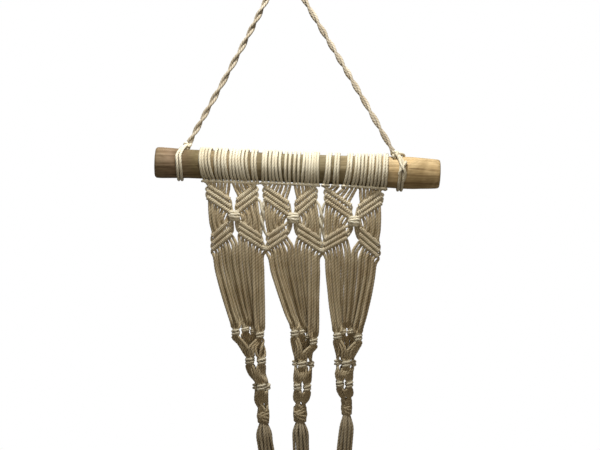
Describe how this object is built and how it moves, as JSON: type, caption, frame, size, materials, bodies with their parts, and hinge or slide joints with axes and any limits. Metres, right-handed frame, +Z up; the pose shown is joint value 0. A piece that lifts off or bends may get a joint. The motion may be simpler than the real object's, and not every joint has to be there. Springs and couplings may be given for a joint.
{
  "type": "hanging macrame planter",
  "caption": "Wall-hung macrame planter: knotted cotton panels on a natural branch, each ending in a netted pot cradle with a tassel, hung from a twisted cord.",
  "frame": {"origin": "the point under the top of the hanging cord where it bears on a hook or nail", "axes": "+Z up, +X to the viewer's right along the branch, -Y towards the front"},
  "size_m": [0.4294, 0.0586, 0.8575],
  "materials": {
    "branch_wood": "bare, weathered, unvarnished",
    "cotton_cord": "natural undyed twisted cotton, matt",
    "hanging_rope": "natural undyed cotton, two strands laid together, matt"
  },
  "bodies": {
    "hanger": {"hanging_cord": "hanging_rope"},
    "branch": {"branch": "branch_wood", "left_tie_knot": "hanging_rope", "right_tie_knot": "hanging_rope", "left_mounting_knots": "cotton_cord", "middle_mounting_knots": "cotton_cord", "right_mounting_knots": "cotton_cord", "left_upper_cords": "cotton_cord", "middle_upper_cords": "cotton_cord", "right_upper_cords": "cotton_cord", "left_upper_leaves": "cotton_cord", "middle_upper_leaves": "cotton_cord", "right_upper_leaves": "cotton_cord", "left_centre_knot": "cotton_cord", "middle_centre_knot": "cotton_cord", "right_centre_knot": "cotton_cord", "left_side_cords": "cotton_cord", "middle_side_cords": "cotton_cord", "right_side_cords": "cotton_cord", "left_lower_leaves": "cotton_cord", "middle_lower_leaves": "cotton_cord", "right_lower_leaves": "cotton_cord", "left_inner_cords": "cotton_cord", "middle_inner_cords": "cotton_cord", "right_inner_cords": "cotton_cord", "left_link_cord": "cotton_cord", "right_link_cord": "cotton_cord"},
    "left_cradle": {"left_long_cords": "cotton_cord", "left_cradle_knots": "cotton_cord", "left_cradle_net": "cotton_cord", "left_gathering_knot": "cotton_cord"},
    "left_tassel": {"left_tassel": "cotton_cord"},
    "middle_cradle": {"middle_long_cords": "cotton_cord", "middle_cradle_knots": "cotton_cord", "middle_cradle_net": "cotton_cord", "middle_gathering_knot": "cotton_cord"},
    "middle_tassel": {"middle_tassel": "cotton_cord"},
    "right_cradle": {"right_long_cords": "cotton_cord", "right_cradle_knots": "cotton_cord", "right_cradle_net": "cotton_cord", "right_gathering_knot": "cotton_cord"},
    "right_tassel": {"right_tassel": "cotton_cord"}
  },
  "joints": [
    {"name": "branch_swing", "type": "hinge", "parent": "hanger", "child": "branch", "pos_m": [-0.146, 0.005, -0.261], "axis": [0.9972, -0.0607, -0.0447], "range_deg": [-45, 45]},
    {"name": "left_cradle_swing", "type": "hinge", "parent": "branch", "child": "left_cradle", "pos_m": [-0.0685, -0.012, -0.425], "axis": [1, 0, 0], "range_deg": [-60, 35]},
    {"name": "left_tassel_swing", "type": "hinge", "parent": "left_cradle", "child": "left_tassel", "pos_m": [-0.031, -0.012, -0.6835], "axis": [1, 0, 0], "range_deg": [-45, 45]},
    {"name": "middle_cradle_swing", "type": "hinge", "parent": "branch", "child": "middle_cradle", "pos_m": [0.0152, -0.012, -0.428], "axis": [1, 0, 0], "range_deg": [-60, 35]},
    {"name": "middle_tassel_swing", "type": "hinge", "parent": "middle_cradle", "child": "middle_tassel", "pos_m": [0.024, -0.012, -0.681], "axis": [1, 0, 0], "range_deg": [-45, 45]},
    {"name": "right_cradle_swing", "type": "hinge", "parent": "branch", "child": "right_cradle", "pos_m": [0.1005, -0.012, -0.437], "axis": [1, 0, 0], "range_deg": [-60, 35]},
    {"name": "right_tassel_swing", "type": "hinge", "parent": "right_cradle", "child": "right_tassel", "pos_m": [0.094, -0.012, -0.672], "axis": [1, 0, 0], "range_deg": [-45, 45]}
  ]
}
